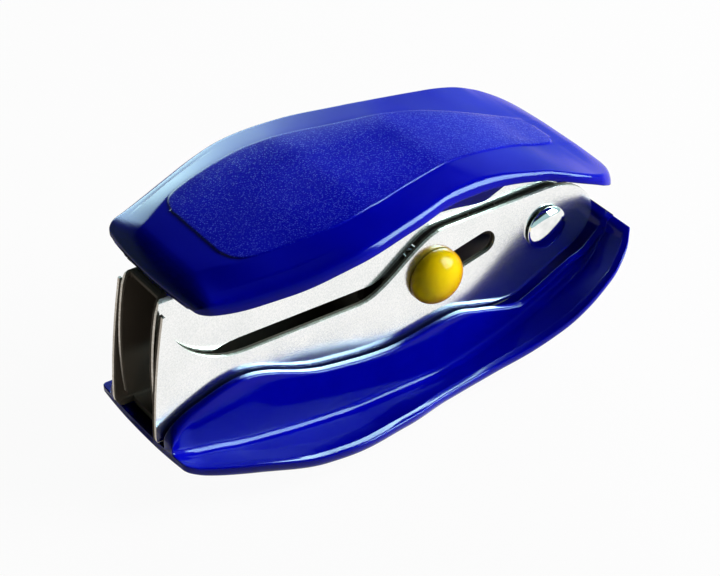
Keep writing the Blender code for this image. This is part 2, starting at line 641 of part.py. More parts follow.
def main():
    clear_scene()
    blue = finish("blue_plastic", BLUE, 0.22, 0.0)
    nickel = finish("nickel_plate", NICKEL, 0.2, 1.0)
    wire = finish("spring_wire", SPRING_STEEL, 0.3, 1.0)
    yellow = finish("yellow_plastic", YELLOW, 0.2, 0.0)

    lower_jaw(nickel)
    cover("lower_cover", -1, LOWER_COVER, LOWER_JAW_HALF + GAP, blue)
    pivot_rivet(nickel)
    torsion_spring(wire)

    hinge = joint_empty("jaw_hinge_axis", RIVET_X, 0.0)
    hang(upper_jaw(nickel), hinge)
    hang(cover("upper_cover", 1, UPPER_COVER, UPPER_JAW_HALF + GAP, blue), hinge)

    carriage = joint_empty("lock_slide_axis", *PIN_REST)
    hang(lock_pin(nickel), carriage)
    hang(lock_button("lock_button_right", -1, yellow), carriage)
    hang(lock_button("lock_button_left", 1, yellow), carriage)


main()
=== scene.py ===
"""Looks of the staple remover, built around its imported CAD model. Metres, +Z up, in the CAD's frame."""
import math

import bpy
import numpy as np
from mathutils import Matrix, Vector


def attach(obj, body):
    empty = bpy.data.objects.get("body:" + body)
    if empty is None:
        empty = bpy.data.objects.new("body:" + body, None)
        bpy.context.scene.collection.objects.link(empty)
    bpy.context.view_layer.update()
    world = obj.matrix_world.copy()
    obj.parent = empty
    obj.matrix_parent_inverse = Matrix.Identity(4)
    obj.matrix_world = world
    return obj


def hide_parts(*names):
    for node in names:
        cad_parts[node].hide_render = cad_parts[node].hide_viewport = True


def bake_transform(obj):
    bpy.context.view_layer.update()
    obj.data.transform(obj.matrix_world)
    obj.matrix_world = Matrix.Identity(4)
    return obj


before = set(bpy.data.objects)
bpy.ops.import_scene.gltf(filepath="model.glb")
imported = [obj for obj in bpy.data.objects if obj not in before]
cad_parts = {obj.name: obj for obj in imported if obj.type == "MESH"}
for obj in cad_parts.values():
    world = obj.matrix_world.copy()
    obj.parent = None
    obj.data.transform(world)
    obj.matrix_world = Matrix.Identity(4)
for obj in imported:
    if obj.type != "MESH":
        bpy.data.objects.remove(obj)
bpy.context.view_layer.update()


# Jaws
# Two U channels stamped and folded from 0.8 mm steel strip, then nickel plated. Their punched edges
# roll over at the faces and break away rough and brownish in the middle; the inner faces between the plates
# are painted dark brown as shade.
mm = 0.001
sheet_thickness = 0.8 * mm
lower_jaw_half_width = 5.0 * mm
upper_jaw_half_width = 3.9 * mm
edge_roll = 0.09 * mm
nickel_bright = (0.985, 0.98, 0.965, 1.0)
nickel_shade = (0.80, 0.815, 0.80, 1.0)
cut_steel_light = (0.60, 0.56, 0.50, 1.0)
cut_steel_dark = (0.36, 0.29, 0.22, 1.0)
# painted shade: colour of the jaws' inner faces between the plates, in place of nickel
painted_dark_brown = (0.085, 0.06, 0.038, 1.0)
speck_share = 0.6
smudge_share = 0.3
satin_depth = 0.0012 * mm
shear_lines_per_metre = 9000.0
shear_line_stretch = 0.12
cut_normals = (0.80, 0.97)
satin_roughness = (0.11, 0.16)
smudge_roughness = 0.03
cut_roughness = 0.28
inside_roughness = 0.45
inside_metallic = 0.25


def add_node(tree, kind, inputs=None, **settings):
    """A node with its settings; each input is a plain value or the socket that feeds it."""
    node = tree.nodes.new(kind)
    for name, value in settings.items():
        setattr(node, name, value)
    for name, value in (inputs or {}).items():
        if isinstance(value, bpy.types.NodeSocket):
            tree.links.new(value, node.inputs[name])
        else:
            node.inputs[name].default_value = value
    return node


def calculate(tree, operation, *values):
    """One step of arithmetic on sockets or plain values."""
    return add_node(tree, "ShaderNodeMath", dict(enumerate(values)), operation=operation).outputs[0]


def map_range(tree, value, from_min, from_max, to_min, to_max, smooth=False):
    """A value carried from one range to another, held at its ends."""
    inputs = {"Value": value, "From Min": from_min, "From Max": from_max,
              "To Min": to_min, "To Max": to_max}
    kind = "SMOOTHSTEP" if smooth else "LINEAR"
    return add_node(tree, "ShaderNodeMapRange", inputs, interpolation_type=kind).outputs["Result"]


def mix_colours(tree, factor, first, second):
    """First colour where the factor is 0, second where it is 1."""
    inputs = {0: factor, 6: first, 7: second}
    return add_node(tree, "ShaderNodeMix", inputs, data_type="RGBA").outputs[2]


def effect_group(name, inputs, outputs):
    """Empty node group: inputs maps a name to its starting value, outputs lists what comes out."""
    group = bpy.data.node_groups.new(name, "ShaderNodeTree")
    for label, value in inputs.items():
        socket = group.interface.new_socket(label, in_out="INPUT", socket_type="NodeSocketFloat")
        socket.default_value = value
    for label in outputs:
        group.interface.new_socket(label, in_out="OUTPUT", socket_type="NodeSocketFloat")
    return group, group.nodes.new("NodeGroupInput").outputs, group.nodes.new("NodeGroupOutput").inputs


def noise(tree, place, scale, detail=2.0, rough=0.5):
    """Cloudy noise round 0.5, with scale in lumps per metre."""
    inputs = {"Vector": place, "Scale": scale, "Detail": detail, "Roughness": rough}
    return add_node(tree, "ShaderNodeTexNoise", inputs).outputs[0]


def handled_surface():
    """Smudge: slow noise from hands. Speck: fine noise of the finish. Both 0 to 1; sizes in metres."""
    group, given, out = effect_group("handled_surface", {"Smudge Size": 0.006, "Speck Size": 0.0001},
                                     ["Smudge", "Speck"])
    place = add_node(group, "ShaderNodeTexCoord").outputs["Object"]
    slow = noise(group, place, calculate(group, "DIVIDE", 1.0, given["Smudge Size"]), 3.0)
    fine = noise(group, place, calculate(group, "DIVIDE", 1.0, given["Speck Size"]), 1.0)
    group.links.new(map_range(group, slow, 0.35, 0.65, 0.0, 1.0), out["Smudge"])
    group.links.new(map_range(group, fine, 0.3, 0.7, 0.0, 1.0), out["Speck"])
    return group


def punched_sheet():
    """Cut: 1 on the punched edges and their rolled corners, which do not face along Y. Inside: 1 on faces
    nearer the middle than half the sheet. Streak: shear lines, noise that hardly changes along Y."""
    group, given, out = effect_group("punched_sheet", {"Half Width": 0.005}, ["Cut", "Inside", "Streak"])
    coordinates = add_node(group, "ShaderNodeTexCoord")
    facing = add_node(group, "ShaderNodeSeparateXYZ", {0: coordinates.outputs["Normal"]}).outputs["Y"]
    across = add_node(group, "ShaderNodeSeparateXYZ", {0: coordinates.outputs["Object"]}).outputs["Y"]
    cut = map_range(group, calculate(group, "ABSOLUTE", facing), *cut_normals, 1.0, 0.0)
    group.links.new(cut, out["Cut"])
    middle = calculate(group, "SUBTRACT", given["Half Width"], sheet_thickness / 2)
    deep = calculate(group, "LESS_THAN", calculate(group, "ABSOLUTE", across), middle)
    group.links.new(deep, out["Inside"])
    along_edge = add_node(group, "ShaderNodeMapping", {"Vector": coordinates.outputs["Object"],
                                                       "Scale": (1.0, shear_line_stretch, 1.0)}).outputs[0]
    group.links.new(noise(group, along_edge, shear_lines_per_metre, 2.0, 0.7), out["Streak"])
    return group


handled = handled_surface()
punched = punched_sheet()


def principled(name, **fixed):
    """New material: its tree, its Principled shader, and fixed values set on the shader's own sockets."""
    material = bpy.data.materials.new(name)
    material.use_nodes = True
    tree = material.node_tree
    shader = tree.nodes["Principled BSDF"]
    for socket, value in fixed.items():
        shader.inputs[socket.replace("_", " ")].default_value = value
    return material, tree, shader


def grouped(tree, group, **inputs):
    """The outputs of an effect group put into a material, with its inputs set."""
    node = add_node(tree, "ShaderNodeGroup", node_tree=group)
    for socket, value in inputs.items():
        node.inputs[socket.replace("_", " ")].default_value = value
    return node.outputs


def bump(tree, shader, height, distance):
    """Relief in the shading: height 0 to 1 over a distance in metres."""
    inputs = {"Height": height, "Distance": distance, "Strength": 1.0}
    tree.links.new(add_node(tree, "ShaderNodeBump", inputs).outputs["Normal"], shader.inputs["Normal"])


def satin_nickel(name, half_width):
    """Bright plating mottled by a satin grain; punched edges darker with shear streaks; inner faces painted
    dark brown as the shade between the plates.

    Light scattered by the plastic sees that dark brown everywhere, so the plates throw no hot patch on the
    covers.
    """
    material, tree, shader = principled(name)
    surface = grouped(tree, handled, Smudge_Size=5 * mm, Speck_Size=0.18 * mm)
    sheet = grouped(tree, punched, Half_Width=half_width)
    mottle = calculate(tree, "MULTIPLY", surface["Speck"], speck_share)
    mottle = calculate(tree, "MULTIPLY_ADD", surface["Smudge"], smudge_share, mottle)
    face = mix_colours(tree, mottle, nickel_bright, nickel_shade)
    edge = mix_colours(tree, map_range(tree, sheet["Streak"], 0.35, 0.65, 0.0, 1.0),
                       cut_steel_dark, cut_steel_light)
    face = mix_colours(tree, sheet["Cut"], face, edge)
    scattered = add_node(tree, "ShaderNodeLightPath").outputs["Is Diffuse Ray"]
    # painted shade: inner faces take the dark brown, and so does every face for scattered light
    painted_dark = calculate(tree, "MAXIMUM", sheet["Inside"], scattered)
    tree.links.new(mix_colours(tree, painted_dark, face, painted_dark_brown), shader.inputs["Base Color"])
    rough = map_range(tree, surface["Speck"], 0.0, 1.0, *satin_roughness)
    rough = calculate(tree, "MULTIPLY_ADD", surface["Smudge"], smudge_roughness, rough)
    rough = calculate(tree, "MULTIPLY_ADD", sheet["Cut"], cut_roughness, rough)
    rough = calculate(tree, "MULTIPLY_ADD", sheet["Inside"], inside_roughness, rough)
    tree.links.new(rough, shader.inputs["Roughness"])
    metallic = map_range(tree, sheet["Inside"], 0.0, 1.0, 1.0, inside_metallic)
    tree.links.new(metallic, shader.inputs["Metallic"])
    bump(tree, shader, surface["Speck"], satin_depth)
    return material


def roll_edges(piece):
    """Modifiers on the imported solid: join its triangles, clear flat faces, roll every sharp edge over."""
    weld = piece.modifiers.new("weld", "WELD")
    weld.merge_threshold = 0.001 * mm
    flat = piece.modifiers.new("flat_faces", "DECIMATE")
    flat.decimate_type = "DISSOLVE"
    flat.angle_limit = math.radians(1.0)
    roll = piece.modifiers.new("rolled_edges", "BEVEL")
    roll.width = edge_roll
    roll.segments = 3
    roll.limit_method = "ANGLE"
    roll.angle_limit = math.radians(40.0)
    roll.loop_slide = False
    roll.harden_normals = True


for jaw, half_width in (("lower_jaw", lower_jaw_half_width), ("upper_jaw", upper_jaw_half_width)):
    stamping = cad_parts[jaw]
    stamping.material_slots[0].material = satin_nickel(jaw + "_nickel", half_width)
    roll_edges(stamping)


# Covers
# Each grip is one injection moulding in glossy blue ABS, pressed on to its jaw: a domed back with a
# raised spark-eroded grip field, a lip round the rim, and two inner walls that hold the jaw's plates.
# The lower cover's walls turn outward at the front to close the trough beside them.
zero_x = -0.25 * mm
rivet_level = 16.2 * mm
gap = 0.3 * mm
land_half_width = 3.0 * mm
edge_fall = 0.03
shoulder_power = 1.15
rim_round = 2.0 * mm
rim_radius = 1.9 * mm
rim_blend = 0.3 * mm
rear_rim = 1.0 * mm
rim_thickness = 1.1 * mm
rim_step = 0.35 * mm
rim_edge_round = 0.22 * mm
rim_side_height = rim_edge_round + 0.03 * mm
least_skin = 0.45 * mm
bow_length = 8.0 * mm
front_slope = 1.05
front_blend = 0.9 * mm
front_skin = 0.65 * mm
front_fall = 0.1 * mm
front_corner = 3.6 * mm
corner_round = 1.2 * mm
corner_round_reach = 2.5 * front_corner
corner_clearance = 0.1 * mm
corner_fillet = 0.3
wall_thickness = 1.1 * mm
wall_round = 0.3 * mm
wall_fillet = 1.0 * mm
least_wall = 0.25 * mm
wall_fade_length = 6.0 * mm
wall_left_at_end = 0.02
end_round = 0.18 * mm
field_rise = 0.15 * mm
field_edge = 0.24 * mm
field_corner = 2.2 * mm
sections_along = 110
# Stations along the tool in millimetres: (X from the drawing's zero, value), heights from the rivet
rim_lip = ((-31.9, 1.05), (-28.0, 1.40), (-24.0, 1.50), (-8.0, 1.45), (8.0, 1.55), (12.0, 1.43),
           (16.0, 1.30), (24.0, 1.32), (29.1, 1.85), (33.3, 1.40))
crown_level = ((-31.9, 11.3), (-26.5, 13.1), (-23.4, 13.9), (-18.0, 14.8), (-14.0, 15.35), (-10.0, 15.75),
               (-6.0, 16.05), (5.0, 16.05), (10.0, 15.45), (14.0, 14.47), (18.0, 13.22), (22.0, 11.72),
               (25.6, 10.42), (29.1, 9.0), (33.3, 4.0))
top_half_width = ((-31.9, 4.0), (-26.5, 5.8), (-23.4, 7.5), (-21.2, 8.5), (-18.0, 9.3), (-14.0, 9.95),
                  (-11.0, 10.2), (-6.0, 9.6), (0.0, 8.2), (6.0, 6.95), (12.0, 6.0), (18.0, 4.9), (25.6, 3.9),
                  (33.3, 3.3))
skin_thickness = ((-31.9, 0.7), (-24.0, 1.5), (24.0, 1.6), (33.3, 1.2))
field_half_width = ((-23.4, 5.2), (-23.0, 6.6), (-22.3, 7.6), (-21.2, 8.2), (-18.0, 9.05), (-14.0, 9.7),
                    (-11.0, 9.95), (-6.0, 9.35), (0.0, 7.95), (6.0, 6.7), (12.0, 5.75), (18.0, 4.6),
                    (23.0, 3.9), (24.4, 3.5), (25.3, 2.7), (25.7, 1.6))
lower_cover_shape = {
    "ends": (-31.9, 33.3), "front_bow": 0.3, "front_lip": 1.2, "wall_start": 1.0, "wall_flare": 1.0,
    "half_width": ((-31.9, 9.05), (-31.65, 9.45), (-31.2, 9.8), (-30.4, 10.15), (-23.4, 12.6),
                   (-15.4, 14.6), (-11.0, 14.99), (-3.4, 14.0), (4.0, 12.2), (10.6, 11.6), (16.6, 12.0),
                   (25.0, 13.1), (28.0, 12.9), (31.0, 11.7), (33.3, 9.6)),
    "rim": ((-31.9, 9.7), (-29.5, 10.5), (-23.4, 11.3), (-15.4, 12.3), (-7.0, 12.35), (4.0, 12.85),
            (8.6, 12.7), (12.6, 12.15), (16.6, 11.3), (21.0, 9.4), (25.0, 6.8), (29.5, 3.6), (33.3, 1.3)),
    "wall": ((-31.9, 8.3), (-31.4, 7.5), (-30.6, 6.7), (-28.2, 5.4), (-21.6, 3.7), (-10.0, 7.2),
             (-1.0, 8.2), (9.4, 7.0), (13.0, 7.9), (20.0, 9.5), (33.3, 3.0)),
}
upper_cover_shape = {
    "ends": (-29.5, 29.1), "front_bow": 0.7, "front_lip": 0.55, "wall_start": 0.0, "wall_flare": 0.0,
    "half_width": ((-29.5, 9.3), (-29.1, 10.1), (-28.3, 10.8), (-27.0, 11.35), (-23.4, 12.6),
                   (-15.4, 14.6), (-11.0, 14.99), (-3.4, 14.0), (4.0, 12.2), (10.6, 11.6), (16.6, 12.0),
                   (23.0, 13.0), (25.0, 12.9), (27.0, 12.1), (28.2, 11.0), (28.8, 9.9), (29.1, 8.6)),
    "rim": ((-29.5, 10.4), (-27.0, 10.3), (-20.0, 11.2), (-11.4, 13.0), (-3.4, 13.9), (2.3, 14.1),
            (8.6, 13.7), (16.6, 12.4), (21.0, 11.0), (24.6, 9.5), (29.1, 6.9)),
    "wall": ((-29.5, 10.4), (-27.5, 9.2), (-24.0, 8.3), (0.0, 8.3), (8.0, 7.9), (13.3, 7.2), (15.4, 7.9),
             (17.5, 8.6), (29.1, 8.2)),
}
blue_deep = (0.0002, 0.0004, 0.33, 1.0)
blue_lively = (0.0003, 0.0008, 0.38, 1.0)
# painted highlight: lighter blue put on the tops of the grain bumps as glints
blue_glint_fleck = (0.030, 0.054, 0.60, 1.0)
gloss_roughness = (0.08, 0.12)
grip_roughness = 0.05
grain_size = 0.22 * mm
grain_depth = 0.008 * mm


def through(stations, x):
    """Cubic through the stations, in metres, with harmonic-mean slopes so that it never overshoots."""
    places, values = np.array(stations).T * mm
    spans = np.diff(places)
    rises = np.diff(values) / spans
    product = rises[:-1] * rises[1:]
    total = np.where(product > 0, rises[:-1] + rises[1:], 1.0)
    inner = np.where(product > 0, 2 * product / total, 0.0)
    slopes = np.concatenate([rises[:1], inner, rises[-1:]])
    i = np.clip(np.searchsorted(places, x) - 1, 0, len(spans) - 1)
    t = (x - places[i]) / spans[i]
    value = values[i] * (1 - t) ** 2 * (1 + 2 * t) + values[i + 1] * t * t * (3 - 2 * t)
    return value + spans[i] * t * (1 - t) * (slopes[i] * (1 - t) - slopes[i + 1] * t)


def smooth(t):
    """Ease from 0 to 1 that starts and stops level: three squares less two cubes."""
    t = np.clip(t, 0.0, 1.0)
    return t * t * (3 - 2 * t)


def steps(count):
    """Shares from 0 to 1 as one row, without the 0 that the stretch before already holds."""
    return np.linspace(0.0, 1.0, count + 1)[None, 1:]


def mesh_piece(name, points, faces, material):
    """Smooth-shaded object at the origin, whose edges stay sharp where they turn by over 50 degrees."""
    mesh = bpy.data.meshes.new(name)
    mesh.from_pydata(points.tolist(), [], faces)
    mesh.shade_smooth()
    mesh.set_sharp_from_angle(angle=math.radians(50.0))
    mesh.materials.append(material)
    piece = bpy.data.objects.new(name, mesh)
    bpy.context.scene.collection.objects.link(piece)
    return piece


def loft(name, rings, material):
    """Closed skin over rings of points, shape (rings, points, 3), with a face on the first and last ring.

    The rings are turned round if the faces between them point inward on the whole: a sum, over the faces,
    of the normal times the way from the middle of all points.
    """
    count, around = rings.shape[:2]
    near, far = rings[:-1], rings[1:]
    side = np.cross(np.roll(near, -1, axis=1) - near, far - near)
    if np.sum(side * (near - rings.mean(axis=(0, 1)))) < 0:
        rings = rings[:, ::-1]
    i, j = np.meshgrid(np.arange(count - 1), np.arange(around), indexing="ij")
    k = (j + 1) % around
    quads = np.stack([i * around + j, i * around + k, (i + 1) * around + k, (i + 1) * around + j], axis=-1)
    last = np.arange((count - 1) * around, count * around)
    faces = quads.reshape(-1, 4).tolist() + [np.arange(around)[::-1].tolist(), last.tolist()]
    return mesh_piece(name, rings.reshape(-1, 3), faces, material), rings


def cover_places(ends):
    """X of the cross sections: evenly along, closer at both ends, in the front corner and round the ends
    of the grip field."""
    front, rear = np.array(ends) * mm
    field_front, field_rear = field_half_width[0][0] * mm, field_half_width[-1][0] * mm
    even = np.linspace(front, rear, sections_along)
    close_ends = end_round * (1 - np.cos(np.linspace(0.0, np.pi / 2, 5)))
    flare = front_corner * np.linspace(0.0, 1.0, 16) ** 2
    rear_step = rear_rim + rim_step * np.linspace(0.0, 1.0, 7)
    ramp = field_edge * np.linspace(0.0, 1.0, 7)
    corner = np.linspace(0.0, field_corner, 14)
    places = [even[1:-1], front + close_ends, front + end_round + flare, rear - close_ends,
              rear - rear_step, field_front - ramp, field_rear + ramp, field_front + corner,
              field_rear - corner / 2]
    return np.unique(np.round(np.concatenate(places), 8))


def lesser(first, second, blend):
    """Smaller of two heights, joined by a parabola where they come within the blend of each other."""
    t = np.clip(0.5 + (second - first) / (2 * blend), 0.0, 1.0)
    return second * (1 - t) + first * t - blend * t * (1 - t)


def cover_half_section(x, shape, wall_in):
    """Half cross sections at every x as arrays y, height and grip, one row for each x.

    Back: the crown's level, falling with the square of the way from the flat land to the edge of the top,
    then almost straight down the shoulder to a lip above the rim's edge, no higher than a circle that
    rises from the rim's side, and near the front no higher than a slope that climbs from the front edge;
    plus the raised field. Inside: the back less the skin, which thins towards the rim; at the rear end,
    and in the front corner where the walls flare, it rises to the rim's level. A flaring wall's outer face
    follows a quarter ellipse outward as it nears the front. The half runs from the middle of the inside,
    round the inner wall, along the floor, over the rim and across the back to its middle.
    """
    x = x[:, None]
    front, rear = np.array(shape["ends"]) * mm
    width, edge = through(shape["half_width"], x), through(shape["rim"], x)
    lip, crown, top = through(rim_lip, x), through(crown_level, x), through(top_half_width, x)
    nudge = 0.01 * mm
    slope = (through(crown_level, x + nudge) - through(crown_level, x - nudge)) / (2 * nudge)
    skin_middle = through(skin_thickness, x) * np.hypot(1.0, slope)
    skin_rim = np.maximum(lip - rim_step, least_skin)

    def share(y):
        return np.maximum(0.0, (y - land_half_width) / (width - land_half_width))

    fall = edge_fall * (top - land_half_width)
    climb = edge + shape["front_lip"] * mm + front_slope * (x - front)

    def dome(y):
        out = np.clip((y - land_half_width) / (top - land_half_width), 0.0, 1.0)
        down = np.clip((y - top) / (width - top), 0.0, 1.0)
        return crown - fall * out ** 2 - (crown - fall - edge - lip) * down ** shoulder_power

    def face(y):
        return climb - front_fall * (y / width) ** 2

    def back(y):
        return lesser(dome(y), face(y), front_blend)

    def inside(y):
        skin = skin_middle + (skin_rim - skin_middle) * share(y)
        plain = lesser(dome(y) - skin, face(y) - front_skin, front_blend)
        filled = shape["wall_flare"] * smooth(1 - (x - front) / front_corner)
        filled = np.maximum(filled, smooth((x - rear + rear_rim + rim_step) / rim_step))
        return plain + (np.minimum(edge, plain) - plain) * filled

    from_front_end = shape["wall_start"] + (x - front) / wall_fade_length
    from_ends = np.minimum(from_front_end, (rear - x) / wall_fade_length)
    fade = np.clip(from_ends, wall_left_at_end, 1.0)
    rim_in = width - rim_thickness
    floor_to = rim_in - rim_step
    from_front = np.clip((x - front) / front_corner, 0.0, 1.0)
    flare = shape["wall_flare"] * (1 - np.sqrt(1 - (1 - from_front) ** 2))
    fillet = wall_fillet * fade * (1 - (1 - corner_fillet) * flare)
    wall_out = wall_in + wall_thickness
    wall_out = wall_out + flare * (floor_to - fillet - corner_clearance - wall_out)
    floor_from = wall_out + fillet
    wall_foot = inside(floor_from) - fillet
    wall_top = np.minimum(through(shape["wall"], x), wall_foot - (least_wall + wall_round) * fade)
    turn = np.minimum(wall_round, (wall_foot - wall_top) / 2)
    near_front = np.clip(1 - (x - front) / corner_round_reach, 0.0, 1.0)
    outer_round = wall_round + shape["wall_flare"] * corner_round * near_front ** 2
    outer_turn = np.minimum(outer_round, (wall_foot - wall_top) / 2)
    side = back(width) - edge
    rim_side = np.minimum(rim_side_height, side / 2)
    shoulder = width - rim_round

    def rounded_rim(y):
        out = width - y
        return lesser(back(y), edge + rim_side + np.sqrt(out * (2 * rim_radius - out)), rim_blend)

    quarter = steps(6) * np.pi / 2

    y = [np.hstack([0 * x, wall_in * steps(8) + 0 * x])]
    h = [inside(y[0])]
    y.append(wall_in + 0 * x * steps(6))
    h.append(inside(wall_in) + (wall_top + turn - inside(wall_in)) * steps(6))
    y.append(wall_in + wall_round * (1 - np.cos(quarter)) + 0 * x)
    h.append(wall_top + turn * (1 - np.sin(quarter)))
    y.append(wall_out - outer_round * (1 - np.sin(np.hstack([[[0.0]], quarter]))))
    h.append(wall_top + outer_turn * (1 - np.cos(np.hstack([[[0.0]], quarter]))))
    y.append(wall_out + 0 * steps(8))
    h.append(wall_top + outer_turn + (wall_foot - wall_top - outer_turn) * steps(8))
    y.append(floor_from - fillet * np.cos(quarter))
    h.append(wall_foot + fillet * np.sin(quarter))
    y.append(floor_from + (floor_to - floor_from) * steps(18))
    h.append(inside(y[-1]))
    y.append(floor_to + (rim_in - floor_to) * steps(8))
    h.append(inside(floor_to) + (edge - inside(floor_to)) * smooth(steps(8)))
    y.append(rim_in + (width - rim_edge_round - rim_in) * steps(3))
    h.append(edge + 0 * steps(3))
    edge_round = np.minimum(rim_edge_round, side / 3)
    y.append(width - rim_edge_round * (1 - np.sin(quarter)))
    h.append(edge + edge_round * (1 - np.cos(quarter)))
    over = np.pi / 2 * (1 - np.hstack([[[0.0]], steps(26)]))
    y.append(shoulder + rim_round * np.sin(over))
    h.append(rounded_rim(y[-1]))
    field_ends = field_half_width[0][0] * mm, field_half_width[-1][0] * mm
    field = through(field_half_width, np.clip(x, *field_ends))
    ramp_ends = smooth((x - field_ends[0] + field_edge) / field_edge)
    ramp_ends = ramp_ends * smooth((field_ends[1] + field_edge - x) / field_edge)
    y.append(shoulder + (field + field_edge - shoulder) * steps(24))
    h.append(back(y[-1]))
    grip = [np.zeros((len(x), sum(part.shape[1] for part in y)))]
    y.append(field + field_edge * (1 - steps(7)))
    grip.append(smooth(steps(7)) * ramp_ends)
    y.append(field * (1 - steps(26)))
    grip.append(ramp_ends + 0 * steps(26))
    h.append(back(np.hstack(y[-2:])) + field_rise * np.hstack(grip[1:]))
    return np.hstack(y), np.hstack(h), np.hstack(grip)


def moulded_cover(name, shape, wall_in, sign, material):
    """Loft of the mirrored half sections. The front bows forward in the middle, and near both ends the
    loop is drawn in along its own normals so that the end's edges are rounded."""
    x = cover_places(shape["ends"])
    y, height, grip = cover_half_section(x, shape, wall_in)
    y = np.hstack([y, -y[:, -2:0:-1]])
    height = np.hstack([height, height[:, -2:0:-1]])
    grip = np.hstack([grip, grip[:, -2:0:-1]])
    width = y.max(axis=1, keepdims=True)
    front, rear = np.array(shape["ends"]) * mm
    from_end = np.clip(np.minimum(x - front, rear - x) / end_round, 0.0, 1.0)[:, None]
    drawn_in = end_round * (1 - np.sqrt(1 - (1 - from_end) ** 2))
    along_y = np.roll(y, -1, axis=1) - np.roll(y, 1, axis=1)
    along_h = np.roll(height, -1, axis=1) - np.roll(height, 1, axis=1)
    length = np.maximum(np.hypot(along_y, along_h), 1e-9)
    bow = shape["front_bow"] * mm * np.maximum(0.0, 1 - (x[:, None] - front) / bow_length)
    rings = np.stack([zero_x + x[:, None] - bow * (1 - (y / width) ** 2),
                      y - drawn_in * along_h / length,
                      rivet_level + sign * (height + drawn_in * along_y / length)], axis=-1)
    piece, kept = loft(name, rings, material)
    turned_round = not np.array_equal(kept, rings)
    values = grip[:, ::-1] if turned_round else grip
    attribute = piece.data.attributes.new("grip", "FLOAT", "POINT")
    attribute.data.foreach_set("value", values.astype(np.float32).ravel())
    return piece


def spark_grain():
    """Grain: height of a spark-eroded mould face, small round bumps of uneven size over a fine noise.
    Painted Glint: the tops of the bumps, which take a lighter colour as painted glints. Both about 0 to 1;
    the bumps stand about one grain size apart."""
    group, given, out = effect_group("spark_grain", {"Grain Size": 0.0002}, ["Grain", "Painted Glint"])
    place = add_node(group, "ShaderNodeTexCoord").outputs["Object"]
    per_metre = calculate(group, "DIVIDE", 1.0, given["Grain Size"])
    cells = add_node(group, "ShaderNodeTexVoronoi", {"Vector": place, "Scale": per_metre}).outputs
    height = add_node(group, "ShaderNodeSeparateColor", {0: cells["Color"]}).outputs[0]
    bumps = map_range(group, cells["Distance"], 0.10, 0.60, 1.0, 0.0, smooth=True)
    bumps = calculate(group, "MULTIPLY", bumps, height)
    fine = noise(group, place, calculate(group, "MULTIPLY", per_metre, 1.7), 1.0)
    group.links.new(calculate(group, "MULTIPLY_ADD", fine, 0.35, bumps), out["Grain"])
    group.links.new(bumps, out["Painted Glint"])
    return group


grain_group = spark_grain()


def gloss_blue():
    """Gloss moulding with a slight uneven sheen; the grip field is rougher and grained, with lighter glints
    painted on the tops of its grain.
    """
    material, tree, shader = principled("gloss_blue", Specular_IOR_Level=0.10)
    surface = grouped(tree, handled, Smudge_Size=7 * mm, Speck_Size=0.5 * mm)
    grain = grouped(tree, grain_group, Grain_Size=grain_size)
    grip = add_node(tree, "ShaderNodeAttribute", attribute_name="grip").outputs["Fac"]
    body = mix_colours(tree, surface["Smudge"], blue_deep, blue_lively)
    # painted highlight: the field's grain tops are coloured lighter as glints
    painted_glints = calculate(tree, "MULTIPLY", grain["Painted Glint"], grip)
    tree.links.new(mix_colours(tree, painted_glints, body, blue_glint_fleck), shader.inputs["Base Color"])
    gloss = map_range(tree, surface["Smudge"], 0.0, 1.0, *gloss_roughness)
    tree.links.new(calculate(tree, "MULTIPLY_ADD", grip, grip_roughness, gloss), shader.inputs["Roughness"])
    bump(tree, shader, calculate(tree, "MULTIPLY", grain["Grain"], grip), grain_depth)
    return material


blue_gloss = gloss_blue()
for body, shape, half_width, sign in (("lower", lower_cover_shape, lower_jaw_half_width, -1),
                                      ("upper", upper_cover_shape, upper_jaw_half_width, 1)):
    cover = moulded_cover(body + "_cover_moulding", shape, half_width + gap, sign, blue_gloss)
    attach(cover, body)
    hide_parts(body + "_cover")


# Pivot rivet
# A nickel-plated steel rivet put through both jaws as their hinge. Its two heads are pressed to low
# polished domes, each a little clear of the plate beside it.
rivet_x = 23.3 * mm
rivet_radius = 1.5 * mm
rivet_head_radius = 2.9 * mm
rivet_head_rise = 1.1 * mm
rivet_head_back = lower_jaw_half_width + gap
rivet_edge_round = 0.05 * mm
flat_end_share = 0.1
polish_depth = 0.006 * mm
polish_roughness = (0.05, 0.09)


def spun(name, profile, centre_x, centre_z, material, around=72):
    """Profile of (radius, y) rows spun about a line along Y: a circle of each radius at each y."""
    radius, y = np.array(profile).T[:, :, None]
    angle = np.linspace(0.0, 2 * np.pi, around, endpoint=False)[None]
    rings = np.stack([centre_x + radius * np.cos(angle), y + 0 * angle, centre_z + radius * np.sin(angle)],
                     axis=-1)
    return loft(name, rings, material)[0]


def rounded_profile(points, radius, count=5):
    """The profile with each inner corner replaced by a quadratic curve that leaves one of its sides and
    joins the other, a radius from the corner but no further than 0.45 of the side."""
    points = np.array(points)
    before, corner, after = points[:-2], points[1:-1], points[2:]
    back, ahead = before - corner, after - corner
    far_back = np.linalg.norm(back, axis=1, keepdims=True)
    far_ahead = np.linalg.norm(ahead, axis=1, keepdims=True)
    start = corner + back * np.minimum(radius / far_back, 0.45)
    end = corner + ahead * np.minimum(radius / far_ahead, 0.45)
    t = np.linspace(0.0, 1.0, count)[None, :, None]
    curve = (1 - t) ** 2 * start[:, None] + 2 * t * (1 - t) * corner[:, None] + t * t * end[:, None]
    return np.vstack([points[:1], curve.reshape(-1, 2), points[-1:]])


def dome_profile(radius, base, rise, count=24):
    """Quarter ellipse from the edge of a dome almost to its pole."""
    angle = np.linspace(0.0, 0.97 * np.pi / 2, count)
    return np.column_stack([radius * np.cos(angle), base + rise * np.sin(angle)])


